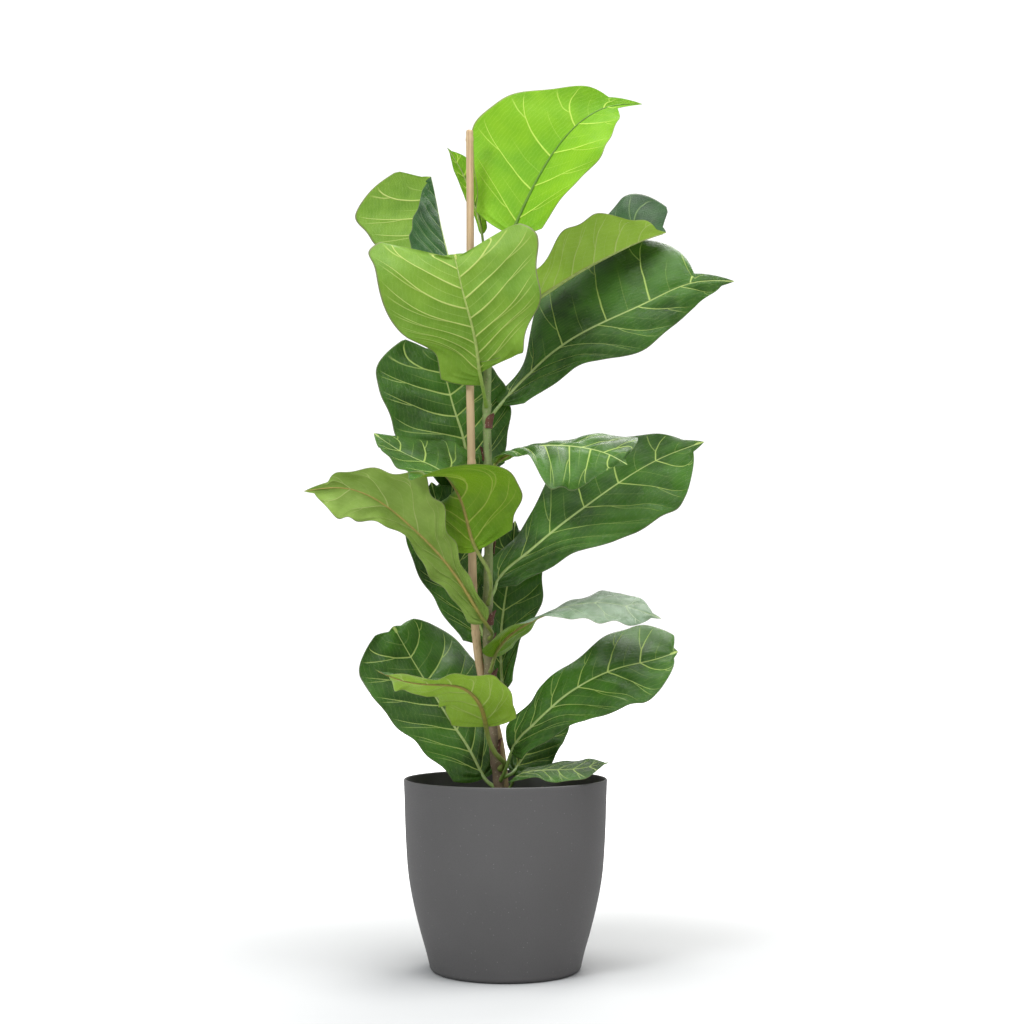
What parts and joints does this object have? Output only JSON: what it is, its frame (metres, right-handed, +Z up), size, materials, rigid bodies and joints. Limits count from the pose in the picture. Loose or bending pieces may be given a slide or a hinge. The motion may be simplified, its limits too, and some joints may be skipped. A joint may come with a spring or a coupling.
{
  "type": "potted fiddle leaf fig",
  "caption": "Upright houseplant with large fiddle-shaped leaves round a woody stem beside a support cane, growing in soil in a matte tapered planter",
  "frame": {"origin": "centre of the planter's flat underside, on the surface that it stands on", "axes": "+Z is up along the plant, the longest side; the plant's front, the side it is seen from, faces -Y"},
  "size_m": [0.5334, 0.3117, 1.1069],
  "materials": {
    "planter": "matte warm dark grey with a fine speckle",
    "soil": "damp crumbly potting soil",
    "bark": "green young bark turning grey-brown towards the soil",
    "cane": "pale pinkish bare wood",
    "young_green": "smooth waxy young green",
    "leaf": "glossy dark green above with pale veins, matte yellow-green below",
    "sheath": "dry papery red-brown"
  },
  "bodies": {
    "root": {"planter": "planter", "potting_soil": "soil", "stem": "bark", "support_cane": "cane", "terminal_bud": "young_green", "leaf_01_crown": "leaf", "leaf_02_young": "leaf", "leaf_03_top_left": "leaf", "leaf_04_top_right": "leaf", "leaf_05_top_front": "leaf", "leaf_06_high_right": "leaf", "leaf_07_high_left": "leaf", "leaf_08_arched": "leaf", "leaf_09_cupped": "leaf", "leaf_10_middle_right": "leaf", "leaf_11_middle_left": "leaf", "leaf_12_behind_left": "leaf", "leaf_13_level_right": "leaf", "leaf_14_back": "leaf", "leaf_15_low_front": "leaf", "leaf_16_low_behind": "leaf", "leaf_17_low_left": "leaf", "leaf_18_low_right": "leaf", "leaf_19_at_rim": "leaf", "bud_sheath_1": "sheath", "bud_sheath_2": "sheath", "bud_sheath_3": "sheath", "bud_sheath_4": "sheath", "bud_sheath_5": "sheath", "bud_sheath_6": "sheath", "bud_sheath_7": "sheath", "bud_sheath_8": "sheath"}
  },
  "joints": []
}
